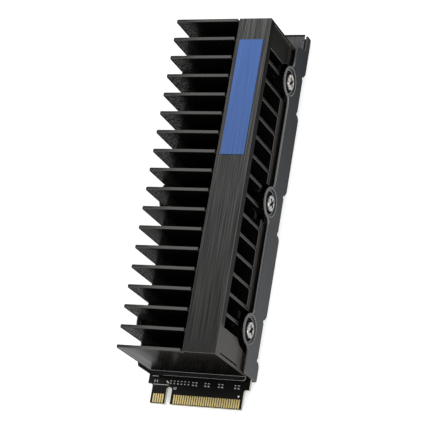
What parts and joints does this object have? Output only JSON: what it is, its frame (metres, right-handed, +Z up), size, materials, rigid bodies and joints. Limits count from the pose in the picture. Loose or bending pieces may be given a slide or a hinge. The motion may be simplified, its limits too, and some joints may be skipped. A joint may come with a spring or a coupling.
{
  "type": "gumstick solid state drive",
  "caption": "Narrow card-edge solid state drive clamped between a tall finned heatsink with a windowed side and a folded sheet tray with screwed ears.",
  "frame": {"origin": "middle of the footprint, on the underside of the tray", "axes": "+Y along the length from the gold contacts to the mounting notch, +Z up from the tray to the fins, +X towards the windowed side"},
  "size_m": [0.0236, 0.0804, 0.0202],
  "materials": {
    "heatsink_black": "black anodised, brushed on the roof strip",
    "tray_black": "satin black coated sheet",
    "solder_mask": "glossy black solder mask",
    "contact_gold": "gold plated lands",
    "laminate": "bare glass laminate at the board's cut edge",
    "chip_plastic": "moulded package",
    "ferrite": "pressed ferrite",
    "crystal_metal": "plated lid",
    "capacitor_tan": "moulded capacitor",
    "pad_dark": "dark silicone pad",
    "pad_grey": "grey silicone pad",
    "label_blue": "plain blue printed film",
    "screw_steel": "bright steel"
  },
  "bodies": {
    "root": {"heatsink": "heatsink_black", "tray": "tray_black", "board": "solder_mask", "controller": "chip_plastic", "memory_buffer": "chip_plastic", "flash_1": "chip_plastic", "flash_2": "chip_plastic", "power_chip": "chip_plastic", "boot_memory": "chip_plastic", "inductor_1": "ferrite", "inductor_2": "ferrite", "inductor_3": "ferrite", "crystal": "crystal_metal", "bulk_capacitor_1": "capacitor_tan", "bulk_capacitor_2": "capacitor_tan", "controller_pad": "pad_dark", "memory_pad": "pad_grey", "base_pad": "pad_grey", "label": "label_blue", "screw_left_1": "screw_steel", "screw_left_2": "screw_steel", "screw_left_3": "screw_steel", "screw_right_1": "screw_steel", "screw_right_2": "screw_steel", "screw_right_3": "screw_steel"}
  },
  "joints": []
}
